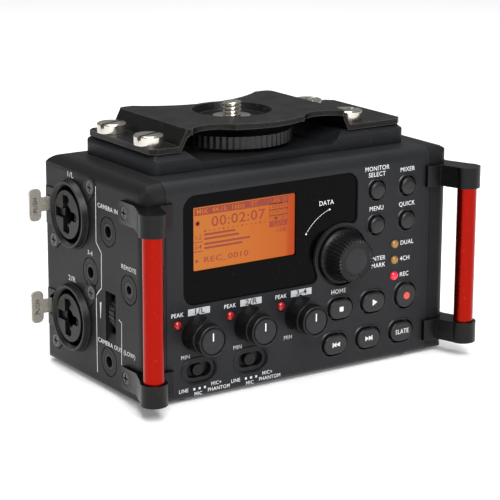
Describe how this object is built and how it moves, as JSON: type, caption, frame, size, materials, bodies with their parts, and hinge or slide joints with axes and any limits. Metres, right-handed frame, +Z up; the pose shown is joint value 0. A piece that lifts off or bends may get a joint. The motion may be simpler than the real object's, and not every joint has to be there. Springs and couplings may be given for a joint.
{
  "type": "portable field recorder",
  "caption": "Box-shaped portable audio recorder with display, knobs, buttons, input sockets, side handle bars and a camera plate on top.",
  "frame": {"origin": "mouth of the tripod socket in the middle of the underside", "axes": "+X to the right of someone facing the display, +Y from the display to the back, +Z up"},
  "size_m": [0.1339, 0.0784, 0.0885],
  "materials": {
    "shell": "satin moulded plastic, fine grain",
    "cap": "satin moulded plastic, fine grain",
    "platform": "satin painted die casting",
    "plate": "satin black coated steel",
    "nickel": "nickel plated",
    "screw_steel": "zinc plated",
    "wheel_black": "black anodised, knurled",
    "window": "gloss black",
    "lcd": "amber backlit",
    "knob": "satin black",
    "button": "matte",
    "led_amber": "diffused lamp",
    "led_red": "diffused lamp",
    "jack_black": "satin black",
    "insert": "satin grey",
    "bracket": "satin black",
    "red_bar": "red anodised",
    "door": "satin moulded plastic",
    "cell": "printed sleeve",
    "contact": "nickel plated spring steel",
    "board": "green circuit board",
    "bush": "nickel plated brass",
    "rubber": "matte"
  },
  "bodies": {
    "case": {"center_housing": "shell", "rear_cover": "shell", "left_end_cap": "cap", "right_end_cap": "cap", "top_platform": "platform", "mount_plate": "plate", "mount_screws": "nickel", "stud_washer": "nickel", "display_window": "window", "lcd_module": "lcd", "mode_leds": "led_amber", "record_led": "led_red", "peak_leds": "led_red", "combo_jack_1": "jack_black", "combo_jack_2": "jack_black", "jack_inserts": "insert", "jack_screws": "screw_steel", "left_mini_jacks": "jack_black", "right_mini_jacks": "jack_black", "left_upper_bracket": "bracket", "left_lower_bracket": "bracket", "right_upper_bracket": "bracket", "right_lower_bracket": "bracket", "left_handle_bar": "red_bar", "right_handle_bar": "red_bar", "bracket_screws": "screw_steel", "battery_tray": "door", "aa_cells": "cell", "battery_contacts": "contact", "main_board": "board", "front_board": "board", "tripod_bush": "bush", "rubber_feet": "rubber", "card_socket": "contact"},
    "camera_screw": {"camera_stud": "nickel", "thumb_wheel": "wheel_black"},
    "data_wheel": {"data_wheel": "knob"},
    "trim_knob_1": {"trim_knob_1": "knob"},
    "trim_knob_2": {"trim_knob_2": "knob"},
    "trim_knob_3": {"trim_knob_3": "knob"},
    "input_switch_1": {"input_switch_1": "knob"},
    "input_switch_2": {"input_switch_2": "knob"},
    "stop_button": {"stop_button": "button"},
    "play_button": {"play_button": "button"},
    "record_button": {"record_button": "button"},
    "skip_back_button": {"skip_back_button": "button"},
    "skip_forward_button": {"skip_forward_button": "button"},
    "slate_button": {"slate_button": "button"},
    "monitor_button": {"monitor_button": "button"},
    "mixer_button": {"mixer_button": "button"},
    "menu_button": {"menu_button": "button"},
    "quick_button": {"quick_button": "button"},
    "latch_tab_1": {"latch_tab_1": "nickel"},
    "latch_tab_2": {"latch_tab_2": "nickel"},
    "level_wheel": {"level_wheel": "knob"},
    "phones_wheel": {"phones_wheel": "knob"},
    "power_switch": {"power_switch": "knob"},
    "card_door": {"card_door": "door"},
    "battery_door": {"battery_door": "door"},
    "door_latch": {"door_latch": "door"}
  },
  "joints": [
    {"name": "camera_screw_turn", "type": "hinge", "parent": "case", "child": "camera_screw", "pos_m": [-0.006, 0.0015, 0.0773], "axis": [0, 0, 1], "continuous": true},
    {"name": "data_wheel_turn", "type": "hinge", "parent": "case", "child": "data_wheel", "pos_m": [0.0159, -0.0315, 0.0387], "axis": [0, -1, 0], "continuous": true},
    {"name": "trim_1_turn", "type": "hinge", "parent": "case", "child": "trim_knob_1", "pos_m": [-0.041, -0.0315, 0.0216], "axis": [0, -1, 0], "range_deg": [-150, 150]},
    {"name": "trim_2_turn", "type": "hinge", "parent": "case", "child": "trim_knob_2", "pos_m": [-0.0213, -0.0315, 0.0216], "axis": [0, -1, 0], "range_deg": [-150, 150]},
    {"name": "trim_3_turn", "type": "hinge", "parent": "case", "child": "trim_knob_3", "pos_m": [-0.0016, -0.0315, 0.0216], "axis": [0, -1, 0], "range_deg": [-150, 150]},
    {"name": "input_1_slide", "type": "slide", "parent": "case", "child": "input_switch_1", "axis": [1, 0, 0], "range_m": [-0.0016, 0.0016]},
    {"name": "input_2_slide", "type": "slide", "parent": "case", "child": "input_switch_2", "axis": [1, 0, 0], "range_m": [-0.0016, 0.0016]},
    {"name": "stop_press", "type": "slide", "parent": "case", "child": "stop_button", "axis": [0, 1, 0], "range_m": [0, 0.0005], "stiffness_N_per_m": 600},
    {"name": "play_press", "type": "slide", "parent": "case", "child": "play_button", "axis": [0, 1, 0], "range_m": [0, 0.0005], "stiffness_N_per_m": 600},
    {"name": "record_press", "type": "slide", "parent": "case", "child": "record_button", "axis": [0, 1, 0], "range_m": [0, 0.0005], "stiffness_N_per_m": 600},
    {"name": "skip_back_press", "type": "slide", "parent": "case", "child": "skip_back_button", "axis": [0, 1, 0], "range_m": [0, 0.0005], "stiffness_N_per_m": 600},
    {"name": "skip_forward_press", "type": "slide", "parent": "case", "child": "skip_forward_button", "axis": [0, 1, 0], "range_m": [0, 0.0005], "stiffness_N_per_m": 600},
    {"name": "slate_press", "type": "slide", "parent": "case", "child": "slate_button", "axis": [0, 1, 0], "range_m": [0, 0.0005], "stiffness_N_per_m": 600},
    {"name": "monitor_press", "type": "slide", "parent": "case", "child": "monitor_button", "axis": [0, 1, 0], "range_m": [0, 0.0005], "stiffness_N_per_m": 600},
    {"name": "mixer_press", "type": "slide", "parent": "case", "child": "mixer_button", "axis": [0, 1, 0], "range_m": [0, 0.0005], "stiffness_N_per_m": 600},
    {"name": "menu_press", "type": "slide", "parent": "case", "child": "menu_button", "axis": [0, 1, 0], "range_m": [0, 0.0005], "stiffness_N_per_m": 600},
    {"name": "quick_press", "type": "slide", "parent": "case", "child": "quick_button", "axis": [0, 1, 0], "range_m": [0, 0.0005], "stiffness_N_per_m": 600},
    {"name": "latch_1_push", "type": "slide", "parent": "case", "child": "latch_tab_1", "axis": [1, 0, 0], "range_m": [0, 0.0008], "stiffness_N_per_m": 800},
    {"name": "latch_2_push", "type": "slide", "parent": "case", "child": "latch_tab_2", "axis": [1, 0, 0], "range_m": [0, 0.0008], "stiffness_N_per_m": 800},
    {"name": "level_turn", "type": "hinge", "parent": "case", "child": "level_wheel", "pos_m": [-0.0524, -0.0106, 0.0256], "axis": [0, 1, 0], "range_deg": [-135, 135]},
    {"name": "phones_turn", "type": "hinge", "parent": "case", "child": "phones_wheel", "pos_m": [0.0524, -0.019, 0.035], "axis": [0, 1, 0], "range_deg": [-135, 135]},
    {"name": "power_slide", "type": "slide", "parent": "case", "child": "power_switch", "axis": [0, 1, 0], "range_m": [0, 0.003]},
    {"name": "card_door_open", "type": "hinge", "parent": "case", "child": "card_door", "pos_m": [0.059, 0.024, 0.036], "axis": [0, 0, 1], "range_deg": [0, 90]},
    {"name": "battery_door_open", "type": "hinge", "parent": "case", "child": "battery_door", "pos_m": [-0.001, 0.0331, 0.0052], "axis": [-1, 0, 0], "range_deg": [0, 85]},
    {"name": "latch_slide", "type": "slide", "parent": "battery_door", "child": "door_latch", "axis": [0, 0, -1], "range_m": [0, 0.0025]}
  ]
}
